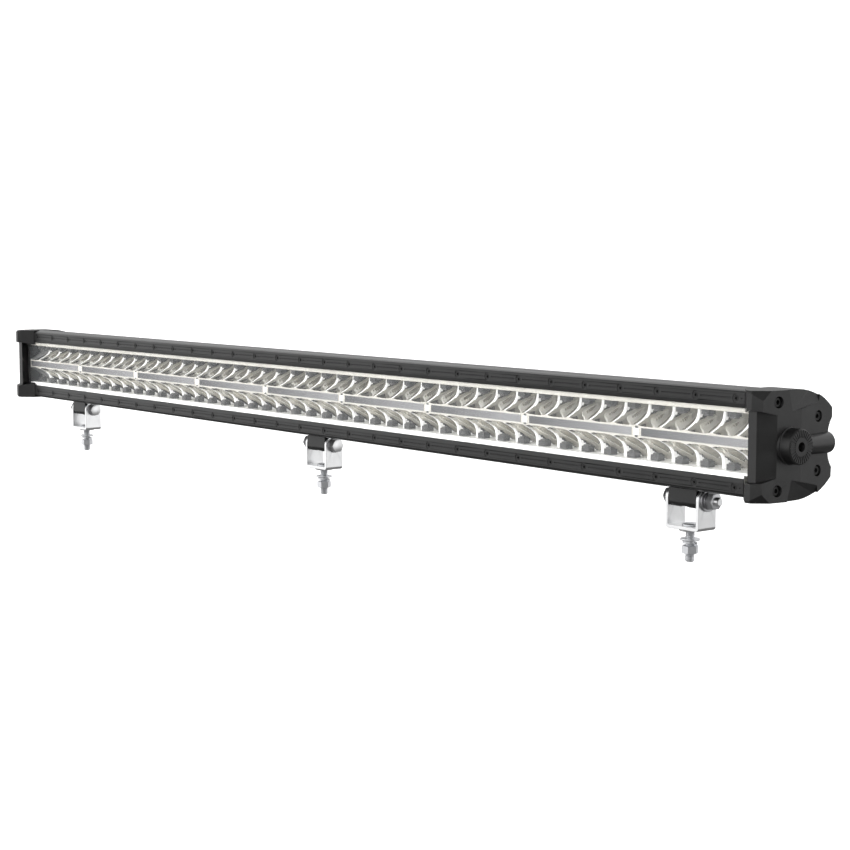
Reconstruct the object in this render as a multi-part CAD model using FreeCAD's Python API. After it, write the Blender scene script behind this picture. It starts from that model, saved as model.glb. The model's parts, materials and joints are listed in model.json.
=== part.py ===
import FreeCAD, Part
import math
import os
from FreeCAD import Vector

# A 52 inch class two-row LED light bar on three sliding, tilting foot brackets.
# Millimetres, +Z up, +X along the bar, -Y is where the light goes.
#
# The bar is drawn about its own middle: x from its centre, y from the front face
# of the bezels towards the back, z from mid height. save() then moves it so that
# the origin is the seat of the centre bracket, on the axis of its stud.

# ---------------------------------------------------------------- driving sizes
SCREW_PITCH = 44.0
SCREWS_PER_BEZEL = 29
MODULES = 9
CUPS_PER_MODULE = 5
CUP_PITCH = 28.68
CAP_HEIGHT = 90.0
CAP_WALL = 2.5
BAR_DEPTH = 70.5
BACK_ARC_R = 105.0
GUARD_REACH = 16.0
BRACKET_SPACING = 540.0
STUD_Y = 31.0
M8 = 4.0
M8_CLEAR = 4.2
RUN_FIT = 0.06

# ---------------------------------------------------------------- worked out
MODULE = CUPS_PER_MODULE * CUP_PITCH
WINDOW_END = MODULES * MODULE / 2
HALF_H = CAP_HEIGHT / 2 - CAP_WALL
CAP_HALF_H = CAP_HEIGHT / 2

# bezels, lens and seal
BEZEL_T = 3.5
BEZEL_IN = 28.8
BEZEL_BEVEL = 32.2
BEZEL_TIP = 0.5
BEZEL_END = 625.6
EDGE_BREAK = 1.2
LENS_T = 1.2
LENS_FRONT = 1.0
LENS_BACK = LENS_FRONT + LENS_T
LENS_HALF_H = 31.5
LENS_END = WINDOW_END - 0.6
GAP = 0.2
SEAL_T = 1.5
SEAL_W = 2.1
SEAL_BACK = LENS_BACK + SEAL_T
BEZEL_SCREW_Z = 36.4
BEZEL_SCREW_R = 1.5
BEZEL_SCREW_L = 12.0
BEZEL_HEAD_R = 2.3
BEZEL_HEAD_H = 1.4
BEZEL_SINK_R = 3.7
BEZEL_SINK = 0.5
BEZEL_KEY = 2.2
BEZEL_KEY_DEEP = 1.0
GROOVE_W = 0.9
GROOVE_DEEP = 0.5
GROOVE_STOP = 5.5

# housing
HOUSING_END = WINDOW_END + 2.0
SHOULDER_Z = 43.3
CREST_Y = 9.0
ARC_START = 13.0
SHELF = 26.2
CAVITY_BACK = 41.5
REAR_Y = 66.0
FIN_ROOT = 45.0
FIN_PITCH = 6.2
FIN_T = 2.0
FINS_EACH_WAY = 6
DUCT_Y = (19.0, 39.0)
DUCT_Z = (29.5, 36.0)
RAIL_HALF_W = 12.0
RAIL_END = 625.6
SLOT_NECK = 4.6
SLOT_HEAD = 7.6
RAIL_FACE_Z = -44.2
SLOT_LIP_Z = -40.2
SLOT_TOP_Z = -34.7

# end caps
CAP_ARC_R = 62.0
CAP_ARC_START = 28.0
CAP_START = 626.0
GASKET_T = 1.6
CAP_FLOOR = HOUSING_END + GASKET_T
SIDE_X = 660.0
SIDE_FRONT_X = 654.8
SIDE_REAR_X = 657.5
CREASE_Y = 29.0
GUARD_IN = 641.5
GUARD_OUT = 646.6
PAD_Y = -11.5
POST_FRONT = -11.2
POST_IN = 639.5
POST_OUT = 648.1
POST_SIDE = (656.5, 3.7)
POST_ROOT = WINDOW_END - 0.4
GUARD_UNDERSIDE = ((-GUARD_REACH - 1, 29.6), (-12.0, 28.6), (4.0, 25.2))
GUARD_BEVEL = 1.8
FACET_IN = 1.0
FACET_DROP = 1.4
FACET_EDGE_Z = 37.3
FACET_SIDE = (0.8, -5.5, 42.6)
DENT_APEX = (658.8, 19.5, 27.6)
DENT_REAR = (658.8, 51.5, 34.0)
DENT_PAST_TOP = (655.3, 14.4, 48.0)
DENT_PAST_REAR = (655.8, 53.0, 42.0)
NOTCH = ((0.0, 20.5), (2.6, 17.0), (4.6, 12.5), (5.2, 9.2))
LOBE_BREAK = 0.3
CAP_SCREWS = ((4.8, 35.5, 652.4), (51.6, 22.2, 654.2))
CAP_SCREW_R = 2.1
CAP_HEAD_R = 3.6
CAP_HEAD_H = 3.0
CAP_KEY = 3.6
CAP_KEY_DEEP = 1.8
CAP_SINK_R = 4.8
CAP_SCREW_BITE = 20.0
GASKET_RIM = 3.0
BOSS_Y = 19.0
BOSS_R = 14.5
BOSS_X = 669.0
BOSS_BORE_DEEP = 16.0
BOSS_FILLET = 1.0
BOSS_ROOT = 1.3
BOSS_CHAMFER = 1.0
TEETH = 30
TOOTH_IN = 7.6
TOOTH_OUT = 13.7
TOOTH_W = 0.9
TOOTH_DEEP = 0.5
RIDGE_HALF_W = 8.7
RIDGE_RISE = 7.0
RIDGE_ROOT = 6.0
RIDGE_BASE = SIDE_REAR_X + 0.5
RIDGE_END = BAR_DEPTH - 4.7

# reflectors and light engine
REFLECTOR_FRONT = 2.7
REFLECTOR_BACK = 33.0
PLATE_T = 1.4
PLATE_HALF_H = 28.8
RIM_IN = 5.3
STRIP_HALF_H = 3.4
STRIP_T = 0.4
STRIP_GAP = 12.0
CHEEK_T = 0.8
CHEEK_H = 5.0
BOARD_IN = 24.6
BOARD_T = 1.6
BOARD_Y = (5.6, 32.6)
CUP_VERTEX = 31.5
CUP_STEPS = 6
LED_SIZE = (9.0, 8.0, 6.4)
LED_Y = 14.5
DRIVER_SIZE = (170.0, 1.6, 44.0)
DRIVER_X = 120.0
COIL_R = 8.8
COIL_SPACING = 42.5

# rear fittings
GLAND_X = -560.0
VENT_X = -500.0
GLAND_R = 6.0
GLAND_FLATS = 17.0
GLAND_FLANGE_T = 4.0
GLAND_NUT_R = 8.0
GLAND_NUT_T = 7.0
GLAND_TAIL = (7.0, 5.0, 6.0)
GLAND_BORE_R = 3.2
VENT_R = 4.5
VENT_CAP = (8.1, 3.5)
VENT_DOME = (5.4, 1.5)
PORT_R = 13.0

# brackets
PIVOT_Z = -56.0
FOOT_HALF_X = 16.0
FOOT_HALF_Y = 10.5
FOOT_BOTTOM = -63.3
FOOT_ROUND = 5.0
FOOT_RELIEF_R = 14.0
FOOT_RELIEF_RISE = 1.2
SLIDE_GAP = 0.3
LEG_GAP = 0.2
PLATE = 3.0
LEG_HALF_Y = 11.0
BASE_Z = -82.5
SEAT_T = 1.6
SEAT_R = 9.5
HEX = 13.0
HEAD_H = 5.3
NUT_H = 6.8
BOLT_TAIL = 4.0
WASHER_R = 8.5
NUT_WASHER_R = 7.5
FAR_WASHER_R = 8.0
WASHER_T = 1.6
FACE_WASHER_R = 9.6
FACE_WASHER_T = 2.0
SPRING_FREE = 4.6
SPRING_T = 2.0
SPRING_R = 6.4
SPRING_TURN = 0.96
PANEL_GAP = 6.6
STUD_HEAD_R = 7.2
STUD_HEAD_T = 2.2
STUD_END = -111.0

SEAT_Z = BASE_Z - SEAT_T
ORIGIN = Vector(0, STUD_Y, SEAT_Z)
PAST = 1.0
BIG = 200.0
BRACKETS = (("left", -BRACKET_SPACING), ("centre", 0.0), ("right", BRACKET_SPACING))
HEADS_ON_RIGHT = ("left", "centre")


# ---------------------------------------------------------------- shape helpers
def box(x, y, z):
    """A box from three (low, high) pairs."""
    return Part.makeBox(x[1] - x[0], y[1] - y[0], z[1] - z[0], Vector(x[0], y[0], z[0]))


def rod(axis, r, start, length):
    """A cylinder of radius r from the point start along axis."""
    return Part.makeCylinder(r, length, Vector(*start), axis)


ALONG_X = Vector(1, 0, 0)
ALONG_Y = Vector(0, 1, 0)
ALONG_Z = Vector(0, 0, 1)


def wire(points, place):
    """A closed wire. A point is (a, b); a pair of points is an arc: (middle, end)."""
    edges = []
    first = last = place(*points[0])
    for p in points[1:]:
        if isinstance(p[0], tuple):
            middle, end = place(*p[0]), place(*p[1])
            edges.append(Part.Arc(last, middle, end).toShape())
        else:
            end = place(*p)
            edges.append(Part.makeLine(last, end))
        last = end
    if last.distanceToPoint(first) > 1e-6:
        edges.append(Part.makeLine(last, first))
    return Part.Wire(edges)


def prism_x(points, x0, x1):
    """An outline of (y, z) points drawn out along X."""
    face = Part.Face(wire(points, lambda y, z: Vector(x0, y, z)))
    return face.extrude(Vector(x1 - x0, 0, 0))


def prism_y(points, y0, y1):
    """An outline of (x, z) points drawn out along Y."""
    face = Part.Face(wire(points, lambda x, z: Vector(x, y0, z)))
    return face.extrude(Vector(0, y1 - y0, 0))


def prism_z(points, z0, z1):
    """An outline of (x, y) points drawn out along Z."""
    face = Part.Face(wire(points, lambda x, y: Vector(x, y, z0)))
    return face.extrude(Vector(0, 0, z1 - z0))


def hexagon(flats, x, y):
    """The six corners of a hexagon, given across its flats, round (x, y)."""
    r = flats / math.sqrt(3)
    corners = [math.radians(60 * k) for k in range(6)]
    return [(x + r * math.cos(a), y + r * math.sin(a)) for a in corners]


def hex_x(flats, start, length):
    """A hexagonal bar along X from the point start."""
    x0, y0, z0 = start
    key = wire(hexagon(flats, y0, z0), lambda y, z: Vector(x0, y, z))
    return Part.Face(key).extrude(Vector(length, 0, 0))


def flip_x(shape):
    return shape.mirror(Vector(0, 0, 0), ALONG_X)


def flip_z(shape):
    return shape.mirror(Vector(0, 0, 0), ALONG_Z)


def joined(shapes):
    """One solid out of touching or overlapping shapes."""
    return shapes[0].multiFuse(shapes[1:]).removeSplitter()


def ring(axis, r_out, r_in, start, length):
    hole = Part.makeCylinder(r_in, length + 2 * PAST, Vector(*start) - axis * PAST, axis)
    return rod(axis, r_out, start, length).cut(hole)


def save(name, solids, x=0.0):
    """Write one node. The drawing is moved so that the origin is the centre stud's seat."""
    shape = solids if isinstance(solids, Part.Shape) else Part.makeCompound(solids)
    moved = shape.copy()
    moved.translate(Vector(x, 0, 0) - ORIGIN)
    found = moved.Solids
    for solid in found:
        if not solid.isValid():
            print("NOT VALID", name)
    moved = found[0] if len(found) == 1 else Part.makeCompound(found)
    moved.exportStep("parts/" + name + ".step")
    print(name, len(found), round(moved.Volume / 1000, 2), "cm3")


# ---------------------------------------------------------------- outlines
def arc_point(y, inset=0.0):
    """A point of the back arc, which leaves the flat top smoothly at ARC_START."""
    r = BACK_ARC_R - inset
    return y, CAP_HALF_H - BACK_ARC_R + math.sqrt(r * r - (y - ARC_START) ** 2)


def cap_arc_point(y):
    """A point of the cap's own back arc, which stands proud of the housing's."""
    r = CAP_ARC_R
    return y, CAP_HALF_H - r + math.sqrt(r * r - (y - CAP_ARC_START) ** 2)


def mirrored(points):
    """The same outline points below mid height, in the opposite order."""
    return [(y, -z) for y, z in reversed(points)]


def back_curve(rear_y, inset=0.0):
    """The back half outline: an arc down to the rear, straight across, and back."""
    start, end = arc_point(ARC_START, inset), arc_point(rear_y, inset)
    middle = arc_point((ARC_START + rear_y) / 2, inset)
    low_end, low_middle, low_start = mirrored([start, middle, end])
    return [start, (middle, end), low_end, (low_middle, low_start)]


def housing_outline():
    """The extrusion between the caps, with sloping shoulders behind the bezels."""
    front = [(BEZEL_T, SHOULDER_Z), (CREST_Y, CAP_HALF_H)]
    return front + back_curve(REAR_Y) + mirrored(front)


def spigot_outline():
    """The extrusion's ends, turned down by the thickness of the caps that fit over them."""
    return [(BEZEL_T, HALF_H)] + back_curve(REAR_Y, CAP_WALL) + [(BEZEL_T, -HALF_H)]


def cap_outline():
    """The end cap seen from the side, front guards included."""
    lobe_y = BAR_DEPTH - LOBE_BREAK
    start, end = cap_arc_point(CAP_ARC_START), cap_arc_point(lobe_y)
    middle = cap_arc_point((CAP_ARC_START + lobe_y) / 2)
    rear = [(BAR_DEPTH - step, z) for step, z in NOTCH]
    low_end, low_middle, low_start = mirrored([start, middle, end])
    front = -GUARD_REACH
    upper = [(front, CAP_HALF_H), start, (middle, end)] + rear
    return upper + mirrored(rear) + [low_end, (low_middle, low_start), (front, -CAP_HALF_H)]


# ---------------------------------------------------------------- housing
def screw_xs():
    middle = (SCREWS_PER_BEZEL - 1) / 2
    return [(i - middle) * SCREW_PITCH for i in range(SCREWS_PER_BEZEL)]


def bezel_screw_holes():
    start = BEZEL_SINK
    return [rod(ALONG_Y, BEZEL_SCREW_R, (x, start, z), BEZEL_SCREW_L)
            for x in screw_xs() for z in (BEZEL_SCREW_Z, -BEZEL_SCREW_Z)]


def fin_slots():
    long = (-HOUSING_END - PAST, HOUSING_END + PAST)
    slots = []
    for i in range(-FINS_EACH_WAY, FINS_EACH_WAY):
        low = i * FIN_PITCH + FIN_T / 2
        high = (i + 1) * FIN_PITCH - FIN_T / 2
        slots.append(box(long, (FIN_ROOT, REAR_Y + PAST), (low, high)))
    return slots


def cap_screw_holes():
    holes = []
    for y, z, _ in CAP_SCREWS:
        for side in (1, -1):
            start = (HOUSING_END - CAP_SCREW_BITE, y, side * z)
            holes.append(rod(ALONG_X, CAP_SCREW_R, start, CAP_SCREW_BITE + PAST))
    return holes + [flip_x(h) for h in holes]


def rear_ports():
    """Round clearings in the fins, and the holes through the back, for gland and vent."""
    deep = REAR_Y + PAST - FIN_ROOT
    ports = []
    for x, r in ((GLAND_X, GLAND_R), (VENT_X, VENT_R)):
        ports.append(rod(ALONG_Y, PORT_R, (x, FIN_ROOT, 0), deep))
        ports.append(rod(ALONG_Y, r, (x, CAVITY_BACK - PAST, 0), deep))
    return ports


def housing():
    past = (-HOUSING_END - PAST, HOUSING_END + PAST)
    rail_y = (STUD_Y - RAIL_HALF_W, STUD_Y + RAIL_HALF_W)
    middle = prism_x(housing_outline(), -BEZEL_END, BEZEL_END)
    spigots = prism_x(spigot_outline(), -HOUSING_END, HOUSING_END)
    rail = box((-RAIL_END, RAIL_END), rail_y, (RAIL_FACE_Z, SLOT_TOP_Z))
    body = joined([middle, spigots, rail])
    rail_bed = box(past, rail_y, (-CAP_HALF_H - PAST, RAIL_FACE_Z))
    lens_seat = box(past, (0, SEAL_BACK), (-LENS_HALF_H - GAP, LENS_HALF_H + GAP))
    cavity = box(past, (0, CAVITY_BACK), (-SHELF, SHELF))
    plate_bay = box(past, (0, SEAL_BACK + PLATE_T), (-PLATE_HALF_H - GAP, PLATE_HALF_H + GAP))
    neck = box(past, (STUD_Y - SLOT_NECK, STUD_Y + SLOT_NECK), (-CAP_HALF_H, SLOT_LIP_Z + PAST))
    head = box(past, (STUD_Y - SLOT_HEAD, STUD_Y + SLOT_HEAD), (SLOT_LIP_Z, SLOT_TOP_Z))
    duct = box(past, DUCT_Y, DUCT_Z)
    cuts = [rail_bed, lens_seat, cavity, plate_bay, neck, head, duct]
    cuts += fin_slots() + bezel_screw_holes() + cap_screw_holes() + rear_ports()
    return body.cut(cuts)


# ---------------------------------------------------------------- bezels, lens, seal
def bezel_outline():
    top = HALF_H
    return [
        (0, BEZEL_BEVEL), (0, top - EDGE_BREAK), (EDGE_BREAK, top), (BEZEL_T, SHOULDER_Z),
        (BEZEL_T, LENS_HALF_H + GAP), (LENS_FRONT, LENS_HALF_H + GAP),
        (LENS_FRONT, BEZEL_IN), (BEZEL_TIP, BEZEL_IN),
    ]


def groove_runs():
    """The stretches of the bezel's centre groove between the screw recesses."""
    xs = screw_xs()
    runs = [(a + GROOVE_STOP, b - GROOVE_STOP) for a, b in zip(xs, xs[1:])]
    return runs + [(xs[-1] + GROOVE_STOP, BEZEL_END - 2), (-BEZEL_END + 2, xs[0] - GROOVE_STOP)]


def bezel():
    bar = prism_x(bezel_outline(), -BEZEL_END, BEZEL_END)
    low = BEZEL_SCREW_Z - GROOVE_W / 2
    cuts = [box(run, (-PAST, GROOVE_DEEP), (low, low + GROOVE_W)) for run in groove_runs()]
    for x in screw_xs():
        front = (x, -PAST, BEZEL_SCREW_Z)
        cuts.append(rod(ALONG_Y, BEZEL_SINK_R, front, PAST + BEZEL_SINK))
        cuts.append(rod(ALONG_Y, BEZEL_HEAD_R, front, PAST + BEZEL_SINK + BEZEL_HEAD_H))
        cuts.append(rod(ALONG_Y, BEZEL_SCREW_R, front, BEZEL_T + 2 * PAST))
    return bar.cut(cuts)


def bezel_screw(x):
    """A small socket screw whose head is flush with the floor of the shallow recess."""
    z = BEZEL_SCREW_Z
    head = rod(ALONG_Y, BEZEL_HEAD_R, (x, BEZEL_SINK, z), BEZEL_HEAD_H)
    shank = rod(ALONG_Y, BEZEL_SCREW_R, (x, BEZEL_SINK, z), BEZEL_SCREW_L)
    recess = prism_y(hexagon(BEZEL_KEY, x, z), 0, BEZEL_SINK + BEZEL_KEY_DEEP)
    return head.fuse(shank).cut(recess)


def lens():
    depth = (LENS_FRONT, LENS_BACK)
    return box((-LENS_END, LENS_END), depth, (-LENS_HALF_H, LENS_HALF_H))


def lens_seal():
    depth = (LENS_BACK, SEAL_BACK)
    outer = box((-LENS_END, LENS_END), depth, (-LENS_HALF_H, LENS_HALF_H))
    z = LENS_HALF_H - SEAL_W
    x = LENS_END - SEAL_W
    inner = box((-x, x), (LENS_BACK - PAST, SEAL_BACK + PAST), (-z, z))
    return outer.cut(inner)


# ---------------------------------------------------------------- reflectors, light engine
def cup_xs(centre):
    middle = (CUPS_PER_MODULE - 1) / 2
    return [centre + (i - middle) * CUP_PITCH for i in range(CUPS_PER_MODULE)]


def cup_focus():
    """Focal length of the parabola that meets the centre rib at the module's front."""
    reach = BOARD_IN - RIM_IN
    return reach * reach / (4 * (CUP_VERTEX - REFLECTOR_FRONT))


def cup(x):
    """The hollow of one upper cup: half a deep parabola, its axis on the board's face."""
    f = cup_focus()
    mouth = REFLECTOR_FRONT - PAST
    reach = math.sqrt(4 * f * (CUP_VERTEX - mouth))
    steps = [reach * i / CUP_STEPS for i in range(CUP_STEPS + 1)]
    points = [Vector(x + r, CUP_VERTEX - r * r / (4 * f), BOARD_IN) for r in steps]
    curve = Part.BSplineCurve()
    curve.interpolate(points)
    top, axis_end = points[-1], Vector(x, mouth, BOARD_IN)
    edges = [curve.toShape(), Part.makeLine(top, axis_end), Part.makeLine(axis_end, points[0])]
    face = Part.Face(Part.Wire(edges))
    return face.revolve(Vector(x, 0, BOARD_IN), ALONG_Y, 360)


def reflector(centre):
    """One module: a front plate with a block behind it that holds ten cups."""
    end = LENS_END - SEAL_W - GAP
    x0 = max(centre - MODULE / 2, -end)
    x1 = min(centre + MODULE / 2, end)
    plate_y = (REFLECTOR_FRONT, SEAL_BACK + PLATE_T)
    z = PLATE_HALF_H
    plate = box((x0, x1), plate_y, (-z, z))
    block = box((x0, x1), (REFLECTOR_FRONT, REFLECTOR_BACK), (-BOARD_IN, BOARD_IN))
    hollow = joined([cup(x) for x in cup_xs(centre)])
    hollow = hollow.common(box((x0 - PAST, x1 + PAST), (0, BAR_DEPTH), (RIM_IN, BOARD_IN)))
    cheeks = [box(x, (0, CUP_VERTEX), (BOARD_IN - CHEEK_H, BOARD_IN))
              for x in ((x0, x0 + CHEEK_T), (x1 - CHEEK_T, x1))]
    hollow = hollow.cut(cheeks)
    return plate.fuse(block).cut([hollow, flip_z(hollow)])


def centre_strip():
    """The grey strip along the middle, in one length for each module."""
    end = LENS_END - SEAL_W - GAP
    depth = (REFLECTOR_FRONT - STRIP_T, REFLECTOR_FRONT)
    pieces = []
    for k in range(MODULES):
        centre = (k - (MODULES - 1) / 2) * MODULE
        x0 = max(centre - MODULE / 2 + STRIP_GAP / 2, -end)
        x1 = min(centre + MODULE / 2 - STRIP_GAP / 2, end)
        pieces.append(box((x0, x1), depth, (-STRIP_HALF_H, STRIP_HALF_H)))
    return pieces


def led_board():
    end = LENS_END - SEAL_W - GAP
    return box((-end, end), BOARD_Y, (BOARD_IN, BOARD_IN + BOARD_T))


def led_packages():
    """One LED on the board in the middle of each upper cup."""
    sx, sy, sz = LED_SIZE
    leds = []
    for k in range(MODULES):
        for x in cup_xs((k - (MODULES - 1) / 2) * MODULE):
            size_x = (x - sx / 2, x + sx / 2)
            leds.append(box(size_x, (LED_Y - sy / 2, LED_Y + sy / 2), (BOARD_IN - sz, BOARD_IN)))
    return leds


def driver_board():
    """The current driver, on the inside of the back wall: board, coils and capacitors."""
    sx, sy, sz = DRIVER_SIZE
    back = CAVITY_BACK
    board = box((DRIVER_X - sx / 2, DRIVER_X + sx / 2), (back - sy, back), (-sz / 2, sz / 2))
    parts = [board]
    for k in (-1, 0, 1):
        coil_at = (DRIVER_X + k * COIL_SPACING, REFLECTOR_BACK + GAP, 0)
        parts.append(rod(ALONG_Y, COIL_R, coil_at, back - sy - REFLECTOR_BACK - GAP))
    return joined(parts)


# ---------------------------------------------------------------- end caps
def side_path():
    """The cap's outer side in plan, from the crease outwards to the rear."""
    return [(SIDE_X, CREASE_Y), (SIDE_REAR_X, BAR_DEPTH)]


def guard_plan():
    """Plan of the cap at its top and bottom: a ramp up to the guard block."""
    front = -GUARD_REACH
    return [(CAP_START, 0), (GUARD_IN, front), (GUARD_OUT, front), (SIDE_FRONT_X, PAD_Y)] + \
        side_path() + [(CAP_START, BAR_DEPTH)]


def post_plan():
    """Plan of the cap between its guard blocks: the post beside the window."""
    return [(CAP_START, BEZEL_T), (POST_ROOT, BEZEL_T), (POST_ROOT, 0),
            (POST_IN, POST_FRONT), (POST_OUT, POST_FRONT), POST_SIDE] + \
        side_path() + [(CAP_START, BAR_DEPTH)]


def guard_zone():
    """Where the upper guard block stands: above a face that slopes in to the post."""
    top = CAP_HALF_H + PAST
    points = list(GUARD_UNDERSIDE)
    points += [(points[-1][0], BEZEL_IN), (BAR_DEPTH, BEZEL_IN), (BAR_DEPTH, top)]
    points.append((points[0][0], top))
    return prism_x(points, CAP_START - PAST, SIDE_X + PAST)


def half_space(points, away):
    """A big slab that starts on the plane through three points, on the side of away."""
    a, b, c = [Vector(*p) for p in points]
    n = (b - a).cross(c - a)
    n.normalize()
    if n.dot(Vector(*away) - a) < 0:
        n = n * -1
    slab = Part.makeBox(BIG, BIG, BIG, Vector(-BIG / 2, -BIG / 2, 0))
    slab.Placement = FreeCAD.Placement(a, FreeCAD.Rotation(ALONG_Z, n))
    return slab


def guard_corner_cut():
    """The facet across the outer front corner of the upper guard block."""
    front = -GUARD_REACH
    out, side_y, side_z = FACET_SIDE
    on_front = (GUARD_OUT - FACET_IN, front, CAP_HALF_H - FACET_DROP)
    on_edge = (SIDE_FRONT_X, PAD_Y, FACET_EDGE_Z)
    on_side = (SIDE_FRONT_X + out, side_y, side_z)
    return half_space([on_front, on_edge, on_side], (SIDE_X, front, BIG))


def guard_edge_cut():
    """The bevel along the guard block's front top edge, and down the ramp."""
    front = -GUARD_REACH
    low = CAP_HALF_H - GUARD_BEVEL
    behind = front + GUARD_BEVEL
    corners = [(GUARD_IN, front, low), (GUARD_OUT, front, low), (GUARD_IN, behind, CAP_HALF_H)]
    return half_space(corners, (GUARD_IN, front, BIG))


def dent_cut():
    """The three-sided dent in the upper side face, deepest at the outline."""
    low = [Vector(*p) for p in (DENT_APEX, DENT_PAST_TOP, DENT_PAST_REAR, DENT_REAR)]
    high = [p + Vector(SIDE_X - CAP_START, 0, 0) for p in low]
    triangles = [(low[0], low[1], low[2]), (low[0], low[2], low[3])]
    triangles += [(high[0], high[1], high[2]), (high[0], high[2], high[3])]
    for i in range(len(low)):
        triangles += [(low[i], low[i - 1], high[i - 1]), (low[i], high[i - 1], high[i])]
    faces = [Part.Face(Part.makePolygon([p, q, r, p])) for p, q, r in triangles]
    return Part.Solid(Part.Shell(faces))


def boss():
    """A round serrated boss with a small fillet at its root."""
    root = SIDE_FRONT_X
    surface = SIDE_X - BOSS_ROOT
    f = BOSS_FILLET
    r = BOSS_R
    bend = f * (1 - math.sqrt(0.5))
    points = [(root, 0), (root, r + f), (surface, r + f),
              ((surface + bend, r + bend), (surface + f, r)),
              (BOSS_X - BOSS_CHAMFER, r), (BOSS_X, r - BOSS_CHAMFER), (BOSS_X, 0)]
    face = Part.Face(wire(points, lambda x, rr: Vector(x, BOSS_Y + rr, 0)))
    return face.revolve(Vector(0, BOSS_Y, 0), ALONG_X, 360)


def boss_teeth():
    """Radial grooves round the boss's face."""
    groove = box((BOSS_X - TOOTH_DEEP, BOSS_X + PAST), (BOSS_Y + TOOTH_IN, BOSS_Y + TOOTH_OUT),
                 (-TOOTH_W / 2, TOOTH_W / 2))
    centre = Vector(BOSS_X, BOSS_Y, 0)
    grooves = []
    for k in range(TEETH):
        turned = groove.copy()
        turned.rotate(centre, ALONG_X, 360.0 * k / TEETH)
        grooves.append(turned)
    return grooves


def ridge():
    """The half-round rib from the boss to the rear edge."""
    w, base, root = RIDGE_HALF_W, RIDGE_BASE, RIDGE_BASE - RIDGE_ROOT
    points = [(root, -w), (base, -w), ((base + RIDGE_RISE, 0), (base, w)), (root, w)]
    return prism_y(points, BOSS_Y, RIDGE_END)


def screw_sinks():
    cuts = []
    for y, z, floor in CAP_SCREWS:
        for side in (1, -1):
            cuts.append(rod(ALONG_X, CAP_SINK_R, (floor, y, side * z), BIG))
            start = (HOUSING_END - CAP_SCREW_BITE, y, side * z)
            cuts.append(rod(ALONG_X, CAP_SCREW_R, start, BIG))
    return cuts


def end_cap():
    """The right end cap: a sleeve over the housing's end, with guards, post and boss."""
    tall = (-CAP_HALF_H - PAST, CAP_HALF_H + PAST)
    outline = prism_x(cap_outline(), CAP_START, SIDE_X + PAST)
    guard = prism_z(guard_plan(), *tall).common(guard_zone())
    guard = guard.cut([guard_edge_cut(), guard_corner_cut()])
    post = prism_z(post_plan(), *tall)
    shell = joined([post, guard, flip_z(guard)]).common(outline)
    shell = shell.cut([dent_cut(), flip_z(dent_cut())])
    shell = joined([shell, boss(), ridge()])
    pocket = prism_x(spigot_outline(), CAP_START - PAST, CAP_FLOOR)
    lens_bay = box((CAP_START - PAST, LENS_END + GAP), (LENS_FRONT, BEZEL_T),
                   (-LENS_HALF_H - GAP, LENS_HALF_H + GAP))
    bore = rod(ALONG_X, M8, (BOSS_X - BOSS_BORE_DEEP, BOSS_Y, 0), BOSS_BORE_DEEP + PAST)
    return shell.cut([pocket, lens_bay, bore] + boss_teeth() + screw_sinks())


def end_gasket():
    """The flat gasket between housing and cap, cut away over the window side."""
    plate = prism_x(spigot_outline(), HOUSING_END, CAP_FLOOR)
    holes = [rod(ALONG_X, CAP_SCREW_R, (HOUSING_END - PAST, y, side * z), GASKET_T + 2 * PAST)
             for y, z, _ in CAP_SCREWS for side in (1, -1)]
    window = SHELF - GASKET_RIM
    inner = box((HOUSING_END - PAST, CAP_FLOOR + PAST),
                (BEZEL_T + 2 * GASKET_RIM, CAVITY_BACK - GASKET_RIM), (-window, window))
    return plate.cut(holes + [inner])


def cap_screws():
    """Four socket screws, one in each sink of the right cap."""
    shank_x = HOUSING_END - CAP_SCREW_BITE
    screws = []
    for y, z, floor in CAP_SCREWS:
        for at in (z, -z):
            head = rod(ALONG_X, CAP_HEAD_R, (floor, y, at), CAP_HEAD_H)
            shank = rod(ALONG_X, CAP_SCREW_R, (shank_x, y, at), floor - shank_x)
            key_x = floor + CAP_HEAD_H - CAP_KEY_DEEP
            socket = hex_x(CAP_KEY, (key_x, y, at), CAP_HEAD_H)
            screws.append(head.fuse(shank).cut(socket))
    return screws


# ---------------------------------------------------------------- rear fittings
def cable_gland():
    """The lead's inlet: a threaded body through the back wall, with a tapered nut."""
    x = GLAND_X
    wall = FIN_ROOT
    nut_y = wall + GLAND_FLANGE_T
    tail_y = nut_y + GLAND_NUT_T
    body = rod(ALONG_Y, GLAND_R, (x, CAVITY_BACK, 0), wall - CAVITY_BACK)
    flange = prism_y(hexagon(GLAND_FLATS, x, 0), wall, nut_y)
    nut = rod(ALONG_Y, GLAND_NUT_R, (x, nut_y, 0), GLAND_NUT_T)
    tail = Part.makeCone(*GLAND_TAIL, Vector(x, tail_y, 0), ALONG_Y)
    bore = rod(ALONG_Y, GLAND_BORE_R, (x, CAVITY_BACK - PAST, 0), BAR_DEPTH)
    return joined([body, flange, nut, tail]).cut(bore)


def breather_vent():
    wall = FIN_ROOT
    cap_r, cap_t = VENT_CAP
    dome_r, dome_t = VENT_DOME
    stem = rod(ALONG_Y, VENT_R, (VENT_X, CAVITY_BACK, 0), wall - CAVITY_BACK)
    cap = rod(ALONG_Y, cap_r, (VENT_X, wall, 0), cap_t)
    dome = rod(ALONG_Y, dome_r, (VENT_X, wall + cap_t, 0), dome_t)
    return joined([stem, cap, dome])


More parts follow.
